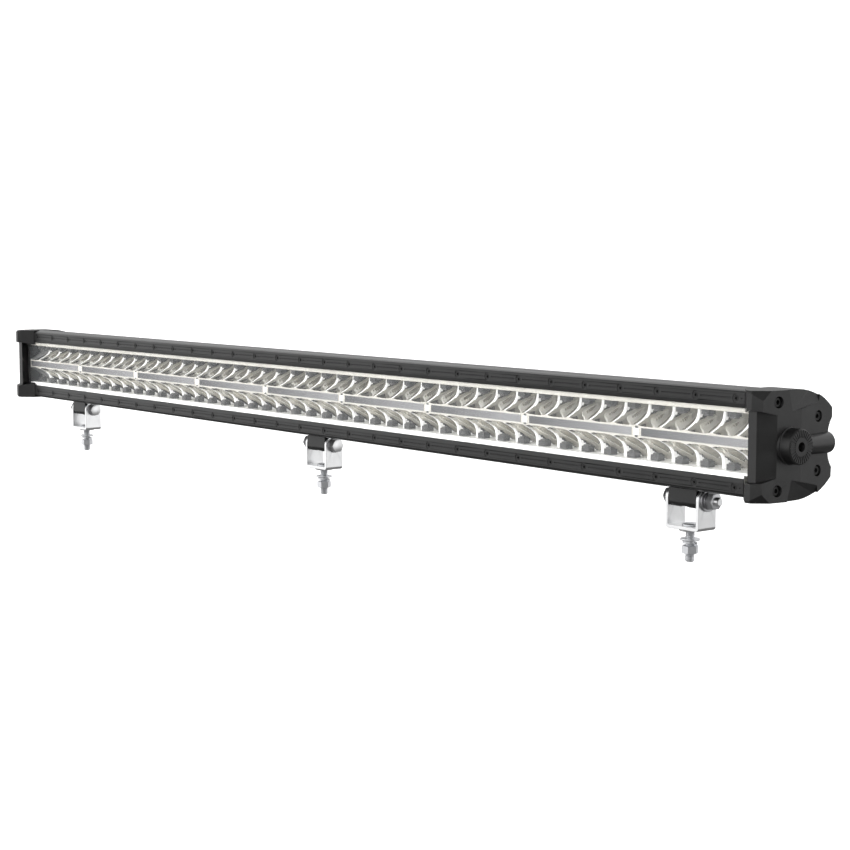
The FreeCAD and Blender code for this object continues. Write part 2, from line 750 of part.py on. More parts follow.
# ---------------------------------------------------------------- brackets
def foot():
    """The slider: a T head in the bar's slot, and the block that the bracket straddles."""
    h, r = FOOT_HALF_Y, FOOT_ROUND
    top = RAIL_FACE_Z - SLIDE_GAP
    low = FOOT_BOTTOM
    bend = r * (1 - math.sqrt(0.5))
    y0, y1 = STUD_Y - h, STUD_Y + h
    outline = [(y0, top), (y1, top), (y1, low + r), ((y1 - bend, low + bend), (y1 - r, low)),
               (y0 + r, low), ((y0 + bend, low + bend), (y0, low + r))]
    block = prism_x(outline, -FOOT_HALF_X, FOOT_HALF_X)
    neck_w = SLOT_NECK - SLIDE_GAP
    head_w = SLOT_HEAD - SLIDE_GAP
    wide = (-FOOT_HALF_X, FOOT_HALF_X)
    lip = SLOT_LIP_Z + SLIDE_GAP / 2
    neck = box(wide, (STUD_Y - neck_w, STUD_Y + neck_w), (top - PAST, lip + PAST))
    head = box(wide, (STUD_Y - head_w, STUD_Y + head_w), (lip, SLOT_TOP_Z - SLIDE_GAP))
    pivot = rod(ALONG_X, M8 + RUN_FIT, (-BIG / 2, STUD_Y, PIVOT_Z), BIG)
    relief_z = low - FOOT_RELIEF_R + FOOT_RELIEF_RISE
    relief = rod(ALONG_Y, FOOT_RELIEF_R, (0, 0, relief_z), BIG)
    return joined([block, neck, head]).cut([pivot, relief])


def leg_profile():
    """Side view of the bracket: straight sides, full round at the pivot."""
    y0, y1 = STUD_Y - LEG_HALF_Y, STUD_Y + LEG_HALF_Y
    return [(y0, BASE_Z), (y1, BASE_Z), (y1, PIVOT_Z),
            ((STUD_Y, PIVOT_Z + LEG_HALF_Y), (y0, PIVOT_Z))]


def u_bracket():
    """A folded plate with a round seat pressed out under its base."""
    inner = FOOT_HALF_X + LEG_GAP
    outer = inner + PLATE
    top = PIVOT_Z + LEG_HALF_Y + PAST
    base = BASE_Z
    b = PLATE * (1 - math.sqrt(0.5))
    section = [(-outer, top), (-outer, base + PLATE), ((-outer + b, base + b), (-inner, base)),
               (inner, base), ((outer - b, base + b), (outer, base + PLATE)), (outer, top),
               (inner, top), (inner, base + PLATE), (-inner, base + PLATE), (-inner, top)]
    fold = prism_y(section, STUD_Y - LEG_HALF_Y - PAST, STUD_Y + LEG_HALF_Y + PAST)
    fold = fold.common(prism_x(leg_profile(), -outer, outer))
    seat = rod(ALONG_Z, SEAT_R, (0, STUD_Y, SEAT_Z), SEAT_T)
    stud_hole = rod(ALONG_Z, M8_CLEAR, (0, STUD_Y, SEAT_Z - PAST), PLATE + SEAT_T + 2 * PAST)
    pivot_hole = rod(ALONG_X, M8_CLEAR, (-BIG / 2, STUD_Y, PIVOT_Z), BIG)
    return fold.fuse(seat).cut([stud_hole, pivot_hole])


def pivot_stack():
    """Where each piece on the pivot bolt starts, going out from the bracket's right leg."""
    leg = FOOT_HALF_X + LEG_GAP + PLATE
    face = leg + FACE_WASHER_T
    return leg, face, face + WASHER_T


def pivot_bolt():
    """The bolt of the right bracket: its head is on the left and its nut on the right."""
    leg, _, nut_x = pivot_stack()
    under_head = -leg - WASHER_T
    tail = nut_x + NUT_H + BOLT_TAIL
    shank = rod(ALONG_X, M8, (under_head, STUD_Y, PIVOT_Z), tail - under_head)
    return shank.fuse(hex_x(HEX, (under_head - HEAD_H, STUD_Y, PIVOT_Z), HEAD_H))


def pivot_washers():
    """A wide face washer and a plain washer under the nut, a plain one under the head."""
    leg, face, _ = pivot_stack()
    wide = ring(ALONG_X, FACE_WASHER_R, M8_CLEAR, (leg, STUD_Y, PIVOT_Z), FACE_WASHER_T)
    plain = ring(ALONG_X, NUT_WASHER_R, M8_CLEAR, (face, STUD_Y, PIVOT_Z), WASHER_T)
    far = ring(ALONG_X, FAR_WASHER_R, M8_CLEAR, (-leg - WASHER_T, STUD_Y, PIVOT_Z), WASHER_T)
    return [wide, plain, far]


def pivot_nut():
    start = pivot_stack()[2]
    nut = hex_x(HEX, (start, STUD_Y, PIVOT_Z), NUT_H)
    return nut.cut(rod(ALONG_X, M8, (start - PAST, STUD_Y, PIVOT_Z), NUT_H + 2 * PAST))


def stud_heights():
    """The undersides of seat, flat washer, spring washer and nut, in that order."""
    washer = SEAT_Z - PANEL_GAP - WASHER_T
    spring = washer - SPRING_FREE
    return SEAT_Z, washer, spring, spring - NUT_H


def mount_stud():
    """A long stud with a flat round head inside the bracket."""
    top = BASE_Z + PLATE
    shank = rod(ALONG_Z, M8, (0, STUD_Y, STUD_END), top - STUD_END)
    return shank.fuse(rod(ALONG_Z, STUD_HEAD_R, (0, STUD_Y, top), STUD_HEAD_T))


def stud_washer():
    return ring(ALONG_Z, WASHER_R, M8_CLEAR, (0, STUD_Y, stud_heights()[1]), WASHER_T)


def stud_spring():
    """A split lock washer, not yet pressed flat: one turn of a square-section helix."""
    low = stud_heights()[2]
    rise = SPRING_FREE - SPRING_T
    r_in = M8_CLEAR
    helix = Part.makeHelix(rise, rise * SPRING_TURN, (r_in + SPRING_R) / 2)
    z = SPRING_T / 2
    corners = [Vector(r_in, 0, -z), Vector(SPRING_R, 0, -z), Vector(SPRING_R, 0, z),
               Vector(r_in, 0, z), Vector(r_in, 0, -z)]
    coil = Part.Wire(helix.Edges).makePipeShell([Part.makePolygon(corners)], True, True)
    coil.translate(Vector(0, STUD_Y, low + z))
    return coil


def stud_nut():
    z = stud_heights()[3]
    nut = prism_z(hexagon(HEX, 0, STUD_Y), z, z + NUT_H)
    return nut.cut(rod(ALONG_Z, M8, (0, STUD_Y, z - PAST), NUT_H + 2 * PAST))


# ---------------------------------------------------------------- the assembly
def save_bar():
    upper = bezel()
    screws = [bezel_screw(x) for x in screw_xs()]
    board = led_board()
    leds = led_packages()
    save("housing", housing())
    save("bezel_top", upper)
    save("bezel_bottom", flip_z(upper))
    save("bezel_screws_top", screws)
    save("bezel_screws_bottom", [flip_z(s) for s in screws])
    save("lens", lens())
    save("lens_seal", lens_seal())
    save("centre_strip", centre_strip())
    save("led_board_upper", board)
    save("led_board_lower", flip_z(board))
    save("led_packages_upper", leds)
    save("led_packages_lower", [flip_z(led) for led in leds])
    save("driver_board", driver_board())
    save("cable_gland", cable_gland())
    save("breather_vent", breather_vent())


def save_reflectors():
    for k in range(MODULES):
        centre = (k - (MODULES - 1) / 2) * MODULE
        save("reflector_%d" % (k + 1), reflector(centre))


def save_ends():
    cap = end_cap()
    gasket = end_gasket()
    screws = cap_screws()
    save("end_cap_right", cap)
    save("end_cap_left", flip_x(cap))
    save("end_gasket_right", gasket)
    save("end_gasket_left", flip_x(gasket))
    save("end_cap_screws_right", screws)
    save("end_cap_screws_left", [flip_x(s) for s in screws])


def save_brackets():
    """Three alike brackets, except that two pivot bolts go in from the right."""
    pieces = {
        "foot": [foot()], "u_bracket": [u_bracket()], "mount_stud": [mount_stud()],
        "stud_washer": [stud_washer()], "stud_spring_washer": [stud_spring()],
        "stud_nut": [stud_nut()],
    }
    pivot = {
        "pivot_bolt": [pivot_bolt()], "pivot_washers": pivot_washers(), "pivot_nut": [pivot_nut()],
    }
    for side, x in BRACKETS:
        for name, solids in pieces.items():
            save(name + "_" + side, solids, x)
        for name, solids in pivot.items():
            turned = [flip_x(s) for s in solids] if side in HEADS_ON_RIGHT else solids
            save(name + "_" + side, turned, x)


os.makedirs("parts", exist_ok=True)
save_bar()
save_reflectors()
save_ends()
save_brackets()
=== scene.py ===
import json
import math

import bmesh
import bpy
from mathutils import Matrix, Vector


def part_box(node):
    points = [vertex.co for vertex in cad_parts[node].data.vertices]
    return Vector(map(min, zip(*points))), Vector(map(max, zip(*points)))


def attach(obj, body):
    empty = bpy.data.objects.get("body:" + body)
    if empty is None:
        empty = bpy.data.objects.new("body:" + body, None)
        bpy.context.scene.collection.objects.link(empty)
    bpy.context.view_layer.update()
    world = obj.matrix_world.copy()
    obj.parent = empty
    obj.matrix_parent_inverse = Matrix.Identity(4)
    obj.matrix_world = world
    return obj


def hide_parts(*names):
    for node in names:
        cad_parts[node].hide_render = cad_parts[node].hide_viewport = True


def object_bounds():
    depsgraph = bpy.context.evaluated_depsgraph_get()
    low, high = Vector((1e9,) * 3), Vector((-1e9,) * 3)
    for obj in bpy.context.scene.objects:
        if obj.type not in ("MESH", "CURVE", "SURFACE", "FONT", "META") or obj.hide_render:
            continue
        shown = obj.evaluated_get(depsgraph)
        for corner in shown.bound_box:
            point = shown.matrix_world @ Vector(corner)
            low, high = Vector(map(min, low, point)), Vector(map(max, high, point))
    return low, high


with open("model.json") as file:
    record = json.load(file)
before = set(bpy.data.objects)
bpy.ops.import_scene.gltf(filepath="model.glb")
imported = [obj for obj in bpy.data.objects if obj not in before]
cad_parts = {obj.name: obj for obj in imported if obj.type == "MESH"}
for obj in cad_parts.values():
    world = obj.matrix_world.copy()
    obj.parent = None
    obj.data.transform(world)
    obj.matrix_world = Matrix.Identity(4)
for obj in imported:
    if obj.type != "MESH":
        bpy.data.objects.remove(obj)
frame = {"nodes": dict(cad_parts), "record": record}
CAD_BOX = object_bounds()

MM = 0.001
SIDES = ("left", "centre", "right")

# ------------------------------------------------------------ sizes, in mm
# Reflectors: modules along the bar, cups in one row of a module, and the mesh of a cup.
MODULES = 9
MIDDLE_MODULE = (MODULES + 1) // 2
CUPS = 5
CUP_COLUMNS = 36
CUP_ROWS = 32
CUP_HALF_W = 19.3
CUP_SQUARENESS = 4.0
CUP_DEPTH = 28.8
RIM_IN = 4.9
RIB_HALF_W = 1.2
# Half widths of the ribs' white painted reflection: narrow at the rim, wide at the board, and how fast it
# widens.
RIB_NARROW = 1.5
RIB_WIDE = 9.5
RIB_FLARE = 4
# Dark lines of painted shadow beside the lower ribs near the board: width, and rows from the board.
SHADE_LINE_W = 1.0
SHADE_LINE_ROWS = 14
# Width of the grey painted reflection on the outer end of the first module.
CHEEK_W = 11.0
PLATE_BEHIND_SEAL = 1.4
PLATE_EDGE = 0.25

# The clips between lengths of strip and the dark sheets of painted shadow under them: half sizes, and
# fronts and backs.
CLIP_X = 2.7
CLIP_Z = 2.9
CLIP_FRONT = 0.35
CLIP_BACK = 0.06
CLIP_EDGE = 0.1
CLIP_SHADE_X = 1.7
CLIP_SHADE_Z = 5.0
CLIP_SHADE_FRONT = 0.05
CLIP_SHADE_BACK = 0.01
CLIP_SHADE_EDGE = 0.01

# LEDs: half sizes of the frame and its top, and the part of the height that the frame takes.
LED_FRAME_X = 4.5
LED_FRAME_DEPTH = 0.8
LED_FRAME_EDGE = 0.3
LED_TOP_X = 3.2
LED_TOP_Y = 2.8
LED_TOP_SUNK = 0.9
LED_TOP_EDGE = 0.28

# Fasteners, all M8.
M8_R = 4.0
M8_PITCH = 1.25
THREAD_DEPTH = 0.4
THREAD_STEPS = 6
THREAD_END_R = 0.72
THREAD_END_L = 0.9
AROUND = 48
HEX_FLATS = 13.0
HEX_FACE = 0.97
HEX_CHAMFER = 0.42
HEAD_H = 5.3
STUD_HEAD_T = 2.2
STUD_HEAD_EDGE = 0.3
STUD_DOME_H = 0.9
STUD_DOME_W = 1.4

# Edges sharper than these angles, in degrees, are shaded as edges.
PIECE_SMOOTH = 30.0
REFLECTOR_SMOOTH = 25.0
FASTENER_SMOOTH = 35.0
MERGE_DIST = 1e-4


# ------------------------------------------------------------ mesh helpers
def new_piece(name, bm, body, material, nodes=(), smooth_deg=PIECE_SMOOTH):
    """Turns a bmesh in mm into a piece that rides on a body and stands for some CAD nodes."""
    bmesh.ops.remove_doubles(bm, verts=bm.verts, dist=MERGE_DIST)
    bmesh.ops.recalc_face_normals(bm, faces=bm.faces)
    bm.transform(Matrix.Scale(MM, 4))
    limit = math.radians(smooth_deg)
    for face in bm.faces:
        face.smooth = True
    for edge in bm.edges:
        flat = len(edge.link_faces) != 2 or edge.calc_face_angle(0.0) > limit
        edge.smooth = not flat
    mesh = bpy.data.meshes.new(name)
    bm.to_mesh(mesh)
    bm.free()
    piece = bpy.data.objects.new(name, mesh)
    bpy.context.scene.collection.objects.link(piece)
    mesh.materials.append(material)
    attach(piece, body)
    if nodes:
        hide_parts(*nodes)
    return piece


def box_mm(node):
    """A CAD node's box, in mm."""
    lo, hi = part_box(node)
    return lo / MM, hi / MM


# ------------------------------------------------------------ shader helpers
class Graph:
    """A node tree that is filled by small calls."""

    def __init__(self, tree):
        self.tree = tree
        tree.nodes.clear()

    def add(self, kind, sockets=None, **settings):
        node = self.tree.nodes.new(kind)
        for key, value in settings.items():
            setattr(node, key, value)
        for key, value in (sockets or {}).items():
            if isinstance(value, bpy.types.NodeSocket):
                self.tree.links.new(value, node.inputs[key])
            else:
                node.inputs[key].default_value = value
        return node

    def coords(self, stretch=(1.0, 1.0, 1.0)):
        """Object coordinates in metres, scaled along each axis."""
        source = self.add("ShaderNodeTexCoord").outputs["Object"]
        mapping = self.add("ShaderNodeMapping", {"Vector": source, "Scale": stretch})
        return mapping.outputs["Vector"]

    def noise(self, at, per_metre, detail=3.0, rough=0.55):
        inputs = {"Vector": at, "Scale": per_metre, "Detail": detail, "Roughness": rough}
        return self.add("ShaderNodeTexNoise", inputs).outputs["Fac"]

    def cells(self, at, per_metre):
        inputs = {"Vector": at, "Scale": per_metre}
        return self.add("ShaderNodeTexVoronoi", inputs).outputs["Distance"]

    def arithmetic(self, operation, a, b=0.0):
        return self.add("ShaderNodeMath", {0: a, 1: b}, operation=operation).outputs[0]

    def ramp(self, value, low, high):
        """Takes 0..1 to low..high, which are both numbers or both colours."""
        if isinstance(low, (int, float)):
            inputs = {"Value": value, "To Min": low, "To Max": high}
            return self.add("ShaderNodeMapRange", inputs).outputs["Result"]
        node = self.add("ShaderNodeMix", data_type="RGBA")
        self.tree.links.new(value, node.inputs[0])
        node.inputs[6].default_value = (*low, 1.0)
        node.inputs[7].default_value = (*high, 1.0)
        return node.outputs[2]

    def contrast(self, value, low=0.3, high=0.7):
        """Spreads low..high of a value over 0..1."""
        inputs = {"Value": value, "From Min": low, "From Max": high}
        return self.add("ShaderNodeMapRange", inputs).outputs["Result"]

    def bump(self, height, mm, strength):
        inputs = {"Height": height, "Distance": mm * MM, "Strength": strength}
        return self.add("ShaderNodeBump", inputs).outputs["Normal"]


def principled(name, build):
    """A material whose Principled inputs come from build(graph)."""
    material = bpy.data.materials.new(name)
    material.use_nodes = True
    graph = Graph(material.node_tree)
    shader = graph.add("ShaderNodeBsdfPrincipled", build(graph))
    output = graph.add("ShaderNodeOutputMaterial")
    graph.tree.links.new(shader.outputs[0], output.inputs[0])
    return material


# ------------------------------------------------------------ materials
def grey(level):
    return (level, level, level)


def powder_coat(name, dark, light, rough, grain_mm=0.45):
    """Satin powder coat: fine orange peel, a faint mottling and uneven sheen."""
    def build(g):
        at = g.coords()
        grain = g.noise(at, per_metre=1.0 / (grain_mm * MM), detail=2.0)
        cloud = g.noise(at, per_metre=60.0, detail=4.0)
        return {
            "Base Color": g.ramp(g.contrast(cloud), dark, light),
            "Roughness": g.ramp(cloud, rough - 0.05, rough + 0.05),
            "Normal": g.bump(grain, mm=0.03, strength=0.35),
        }
    return principled(name, build)


def extruded_black(name, dark, light, rough):
    """Anodised extrusion: fine lines along X."""
    def build(g):
        lines = g.noise(g.coords(stretch=(8.0, 900.0, 900.0)), per_metre=3.0, detail=4.0)
        cloud = g.noise(g.coords(), per_metre=45.0, detail=3.0)
        return {
            "Base Color": g.ramp(g.contrast(cloud), dark, light),
            "Roughness": g.ramp(lines, rough - 0.06, rough + 0.06),
            "Normal": g.bump(lines, mm=0.012, strength=0.4),
        }
    return principled(name, build)


def plated(name, dark, light, rough, stretch):
    """Bright metal with a brushed grain, drawn out by the stretch of each axis."""
    def build(g):
        lines = g.noise(g.coords(stretch), per_metre=6.0, detail=5.0, rough=0.65)
        cloud = g.noise(g.coords(), per_metre=110.0, detail=4.0)
        return {
            "Base Color": g.ramp(g.contrast(cloud), dark, light),
            "Metallic": 1.0,
            "Roughness": g.ramp(lines, rough - 0.07, rough + 0.07),
            "Normal": g.bump(lines, mm=0.01, strength=0.35),
        }
    return principled(name, build)


def metallised(name, pale, warm):
    """Vacuum-coated reflector: a mirror with a slight waviness and a warm tint in places."""
    def build(g):
        at = g.coords()
        wave = g.noise(at, per_metre=130.0, detail=2.0)
        tint = g.noise(at, per_metre=55.0, detail=3.0)
        return {
            "Base Color": g.ramp(g.contrast(tint, 0.35, 0.65), pale, warm),
            "Metallic": 0.90,
            "Roughness": g.ramp(wave, 0.04, 0.10),
            "Normal": g.bump(wave, mm=0.1, strength=0.25),
        }
    return principled(name, build)


def clear_sheet(name):
    """Clear hard-coated window: nearly invisible, with a trace of dust in its gloss."""
    def build(g):
        dust = g.contrast(g.noise(g.coords(), per_metre=900.0, detail=6.0, rough=0.7), 0.62, 0.8)
        return {
            "Base Color": g.ramp(dust, (0.93, 0.96, 0.98), (0.8, 0.8, 0.79)),
            "Roughness": g.ramp(dust, 0.02, 0.18),
            "IOR": 1.45,
            "Alpha": 0.06,
        }
    return principled(name, build)


def soft_plastic(name, dark, light, rough, pattern_mm=0.3):
    """Moulded plastic or rubber with a fine matt texture."""
    def build(g):
        at = g.coords()
        pores = g.cells(at, per_metre=1.0 / (pattern_mm * MM))
        cloud = g.noise(at, per_metre=150.0, detail=3.0)
        return {
            "Base Color": g.ramp(cloud, dark, light),
            "Roughness": g.ramp(cloud, rough - 0.06, rough + 0.06),
            "Normal": g.bump(pores, mm=0.02, strength=0.3),
        }
    return principled(name, build)


def circuit_board(name, mask_dark, mask_light, copper):
    """Solder mask over copper areas that show as faint raised fields."""
    def build(g):
        fields = g.add("ShaderNodeTexBrick", {
            "Vector": g.coords(), "Scale": 120.0, "Mortar Size": 0.03,
            "Color1": (*mask_dark, 1.0), "Color2": (*mask_light, 1.0), "Mortar": (*copper, 1.0),
        })
        return {
            "Base Color": fields.outputs["Color"],
            "Roughness": g.ramp(g.noise(g.coords(), per_metre=400.0), 0.25, 0.4),
            "Normal": g.bump(fields.outputs["Fac"], mm=0.03, strength=0.5),
        }
    return principled(name, build)


def graded_strip(name, at, dark, light):
    """Satin strip whose colour runs from dark to light along each length, with fine draw lines."""
    def build(g):
        length = CUPS * at["pitch"] * MM
        start = (at["centre"] * MM - length / 2) / length
        across = g.add("ShaderNodeSeparateXYZ", {0: g.coords()}).outputs["X"]
        turns = g.arithmetic("MULTIPLY", across, 1 / length)
        place = g.arithmetic("FRACT", g.arithmetic("SUBTRACT", turns, start))
        lines = g.noise(g.coords(stretch=(1.0, 1.0, 900.0)), per_metre=3.0, detail=3.0)
        return {
            "Base Color": g.ramp(g.contrast(place, 0.05, 0.9), dark, light),
            "Roughness": g.ramp(lines, 0.42, 0.58),
            "Normal": g.bump(lines, mm=0.02, strength=0.5),
        }
    return principled(name, build)


def black_materials():
    return {
        "housing_black": extruded_black("Housing_powder", grey(0.004), grey(0.009), 0.30),
        "bezel_black": extruded_black("Bezel_satin", grey(0.002), grey(0.006), 0.36),
        "cap_black": powder_coat("Cap_powder", grey(0.004), grey(0.009), 0.38),
        "screw_black": powder_coat("Screw_oxide", grey(0.001), grey(0.003), 0.48, 0.2),
        "foot_black": powder_coat("Foot_powder", grey(0.004), grey(0.009), 0.38),
        "seal_black": soft_plastic("Seal_rubber", grey(0.012), grey(0.02), 0.7),
        "gland_black": soft_plastic("Gland_nylon", grey(0.014), grey(0.022), 0.5),
    }


def window_materials(at):
    """Everything that shows through the window, and the window."""
    return {
        "lens_clear": clear_sheet("Window_clear"),
        "reflector_chrome": metallised("Reflector_metallised", (0.66, 0.645, 0.60), (0.58, 0.555, 0.485)),
        # White painted reflection for the ribs and the lower front plate.
        "rib_painted_reflection": soft_plastic("Rib_painted_reflection", (0.93, 0.93, 0.92), (0.98, 0.98, 0.965), 0.25),
        # Cream painted reflection for the rims and the upper front plate.
        "border_painted_reflection": soft_plastic("Border_painted_reflection", (0.38, 0.365, 0.325), (0.50, 0.485, 0.44), 0.25),
        # Grey painted reflection for the left cheek.
        "cheek_painted_reflection": soft_plastic("Cheek_painted_reflection", (0.19, 0.19, 0.185), (0.26, 0.26, 0.255), 0.3),
        "clip_bright": soft_plastic("Clip_white", (0.94, 0.94, 0.93), (0.98, 0.98, 0.97), 0.3),
        "strip_grey": graded_strip("Strip_satin", at, (0.058, 0.058, 0.061), (0.185, 0.185, 0.189)),
        "board_white": circuit_board("Board_white", mask_dark=(0.88, 0.88, 0.86),
                                     mask_light=(0.92, 0.92, 0.90), copper=(0.84, 0.83, 0.80)),
        "driver_green": circuit_board("Driver_green", mask_dark=(0.02, 0.12, 0.05),
                                      mask_light=(0.03, 0.16, 0.07), copper=(0.1, 0.2, 0.08)),
        # Dark grey of the LED frames, also used as painted shadow for the lines beside the lower ribs and
        # the sheets under the strip clips.
        "led_package": soft_plastic("Led_frame_and_painted_shade", (0.04, 0.04, 0.04), (0.06, 0.06, 0.058), 0.5),
        "led_top": soft_plastic("Led_top_grey", (0.06, 0.06, 0.058), (0.09, 0.09, 0.086), 0.35),
    }


def metal_materials():
    sheet = (160.0, 160.0, 4.0)
    bar = (90.0, 90.0, 90.0)
    return {
        "stainless": plated("Stainless_sheet", (0.88, 0.885, 0.89), (0.94, 0.945, 0.95), 0.30, sheet),
        "zinc_steel": plated("Fastener_bright", (0.74, 0.75, 0.77), (0.86, 0.87, 0.89), 0.40, bar),
        "bolt_bright": plated("Bolt_bright", (0.88, 0.885, 0.89), (0.94, 0.945, 0.95), 0.30, bar),
        "nut_grey": plated("Fastener_grey", (0.62, 0.625, 0.64), (0.74, 0.745, 0.76), 0.42, bar),
        "washer_dark": plated("Washer_dark", (0.44, 0.44, 0.455), (0.56, 0.56, 0.575), 0.42, bar),
    }


def make_materials(at):
    return {**black_materials(), **window_materials(at), **metal_materials()}


# ------------------------------------------------------------ CAD nodes that stay
BREAK_MM = {
    "housing": 0.4, "end_cap_left": 0.55, "end_cap_right": 0.55, "bezel_top": 0.25, "bezel_bottom": 0.25,
    "u_bracket": 0.35, "foot": 0.6, "pivot_washers": 0.25, "stud_washer": 0.2, "cable_gland": 0.4,
    "breather_vent": 0.4,
}
BREAK_SEGMENTS = 2
BREAK_ANGLE = math.radians(32)
WELD_DIST = 2e-6


def break_edges(node, width_mm):
    """Rounds a CAD node's sharp edges slightly, without touching its own mesh."""
    weld = node.modifiers.new("Weld", "WELD")
    weld.merge_threshold = WELD_DIST
    bevel = node.modifiers.new("Edge", "BEVEL")
    bevel.width = width_mm * MM
    bevel.segments = BREAK_SEGMENTS
    bevel.limit_method = "ANGLE"
    bevel.angle_limit = BREAK_ANGLE
    bevel.harden_normals = False
    bevel.use_clamp_overlap = True


def dress_cad_nodes(materials):
    """Gives every CAD node its material, and those in BREAK_MM their broken edges."""
    slots = {s["node"]: s["material_slot"] for s in frame["record"]["subparts"]}
    for name, node in frame["nodes"].items():
        node.data.materials.clear()
        node.data.materials.append(materials[slots[name]])
        for part, width in BREAK_MM.items():
            if name == part or name.startswith(part + "_"):
                break_edges(node, width)


# ------------------------------------------------------------ reflectors
# The mirror, then faces of painted light: white painted reflection on ribs, dark painted shadow lines in
# the LED frames' grey, cream painted reflection on rims, grey painted reflection on the left cheek.
MIRROR_AND_PAINTED_LIGHT = ("reflector_chrome", "rib_painted_reflection", "led_package", "border_painted_reflection", "cheek_painted_reflection")
MIRROR, RIB, SHADE_LINE, BORDER, CHEEK = range(len(MIRROR_AND_PAINTED_LIGHT))


def reflector_layout():
    """Places that every module shares, read from the middle reflector and the boards."""
    lo, hi = box_mm("reflector_%d" % MIDDLE_MODULE)
    mid = (lo.z + hi.z) / 2
    return {
        "pitch": (hi.x - lo.x) / CUPS, "centre": (lo.x + hi.x) / 2, "mid": mid,
        "front": lo.y, "back": hi.y, "half_h": (hi.z - lo.z) / 2,
        "board": box_mm("led_board_upper")[0].z - mid,
        "plate_back": box_mm("lens_seal")[1].y + PLATE_BEHIND_SEAL,
    }


def cup_rows(x, at):
    """Rows of (x, y, z) from the board to the front plane for one squarish half cup."""
    n = CUP_SQUARENESS
    reach = at["board"] - RIM_IN
    half = at["pitch"] / 2 - RIB_HALF_W
    rows = []
    for j in range(CUP_ROWS + 1):
        row = []
        for i in range(CUP_COLUMNS + 1):
            dx = -half + 2 * half * i / CUP_COLUMNS
            across = (abs(dx) / CUP_HALF_W) ** n
            dz = reach * (1 - across) ** (1 / n) * j / CUP_ROWS
            spread = (across + (dz / reach) ** n) ** (2 / n)
            row.append((x + dx, at["front"] + CUP_DEPTH * (1 - spread), at["board"] - dz))
        rows.append(row)
    return rows


def mirror_or_painted_light(x, row, centre, at, up):
    """Whether a face of a half module is mirror or painted light, as an index into the tuple above: white
    ribs and cream rims of painted reflection, dark lines of painted shadow.
    """
    # The rim row takes cream painted reflection.
    if row >= CUP_ROWS:
        return BORDER if row == CUP_ROWS else MIRROR
    from_cup = (x - centre) / at["pitch"]
    aside = abs(from_cup - round(from_cup)) * at["pitch"]
    from_rib = at["pitch"] / 2 - aside
    wide = RIB_NARROW + (RIB_WIDE - RIB_NARROW) * (1 - row / CUP_ROWS) ** RIB_FLARE
    # The ribs take white painted reflection, wider towards the board.
    if from_rib < wide:
        return RIB
    # Beside the lower ribs near the board, a dark line of painted shadow.
    return SHADE_LINE if up < 0 and row < SHADE_LINE_ROWS and from_rib < wide + SHADE_LINE_W else MIRROR


def half_module(bm, centre, ends, at, up):
    """The five cups on one side of the strip, with ribs and rims of painted reflection, lines of painted
    shadow on the lower side, cheeks and the back of the moulding.
    """
    rows = [[] for _ in range(CUP_ROWS + 1)]
    for k in range(CUPS):
        for row, part in zip(rows, cup_rows(centre + (k - (CUPS - 1) / 2) * at["pitch"], at)):
            row.extend(part)
    for row in rows:
        row.insert(0, (ends[0], row[0][1], row[0][2]))
        row.append((ends[1], row[-1][1], row[-1][2]))
    for y, z in ((at["front"], 0.0), (at["back"], 0.0), (at["back"], at["board"])):
        rows.append([(x, y, z) for x, _, _ in rows[-1]])
    rows.append(rows[0])
    made = [[bm.verts.new((min(max(x, ends[0]), ends[1]), y, at["mid"] + up * z)) for x, y, z in row]
            for row in rows]
    for j, (low, high) in enumerate(zip(made, made[1:])):
        for i in range(len(low) - 1):
            face = bm.faces.new((low[i], low[i + 1], high[i + 1], high[i]))
            x = (low[i].co.x + low[i + 1].co.x) / 2
            face.material_index = mirror_or_painted_light(x, j, centre, at, up)
    for column in (0, -1):
        bm.faces.new([row[column] for row in made[:-1]])


def rounded_box(bm, low, high, edge):
    """A box between two corners with its edges rounded."""
    made = bmesh.ops.create_cube(bm, size=1.0)["verts"]
    low, high = Vector(low), Vector(high)
    for v in made:
        v.co = (low + high) / 2 + Vector(c * s for c, s in zip(v.co, high - low))
    edges = list({e for v in made for e in v.link_edges})
    bmesh.ops.bevel(bm, geom=edges, offset=edge, segments=2, affect="EDGES", profile=0.5)


def paint_cheek_reflection(bm, limit):
    """Paints the mirror faces left of limit grey as painted reflection, on the outer end of the first
    module.
    """
    for face in bm.faces:
        if face.material_index == MIRROR and face.calc_center_median().x < limit:
            face.material_index = CHEEK


def reflector_module(index, at, materials):
    """One module: two front plates in cream and white painted reflection, then the cups above and below
    the strip.
    """
    node = "reflector_%d" % index
    lo, hi = box_mm(node)
    centre = at["centre"] + (index - MIDDLE_MODULE) * CUPS * at["pitch"]
    bm = bmesh.new()
    for up in (1, -1):
        inner, outer = sorted((at["mid"] + up * at["board"], at["mid"] + up * at["half_h"]))
        rounded_box(bm, (lo.x, at["front"], inner), (hi.x, at["plate_back"], outer), PLATE_EDGE)
    # Painted reflection on the front plates: cream on the upper plate, white on the lower.
    for face in bm.faces:
        face.material_index = BORDER if face.calc_center_median().z > at["mid"] else RIB
    for up in (1, -1):
        half_module(bm, centre, (lo.x, hi.x), at, up)
    if index == 1:
        paint_cheek_reflection(bm, lo.x + CHEEK_W)
    piece = new_piece("Reflector_%d" % index, bm, "light_bar",
                      materials["reflector_chrome"], [node], REFLECTOR_SMOOTH)
    for painted in MIRROR_AND_PAINTED_LIGHT[1:]:
        piece.data.materials.append(materials[painted])


def joint_xs(at):
    return [at["centre"] + (k - (MODULES - 2) / 2) * CUPS * at["pitch"] for k in range(MODULES - 1)]


